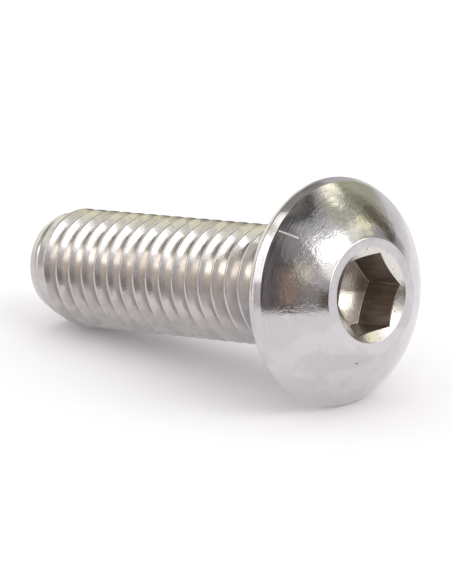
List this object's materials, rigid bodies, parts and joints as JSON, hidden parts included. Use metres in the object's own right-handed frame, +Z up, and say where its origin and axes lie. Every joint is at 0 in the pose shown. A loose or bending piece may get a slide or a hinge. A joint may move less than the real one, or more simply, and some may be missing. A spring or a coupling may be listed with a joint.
{
  "type": "button head screw",
  "caption": "Fully threaded screw with a low domed button head, a flat underside and a hex socket in a flat ring at the top of the dome.",
  "frame": {"origin": "on the ground, under the middle of the screw's bounding box, as it lies on its side", "axes": "+Z up; the screw's axis is in the XZ plane with the head towards +X, raised 8.39 degrees because the rim of the head and the end of the shank both touch the ground; +Y completes the frame"},
  "size_m": [0.019, 0.0094, 0.0093],
  "materials": {
    "stainless_steel": "polished domed head, satin rolled thread, dull punched socket"
  },
  "bodies": {
    "root": {"button_head_screw": "stainless_steel"}
  },
  "joints": []
}
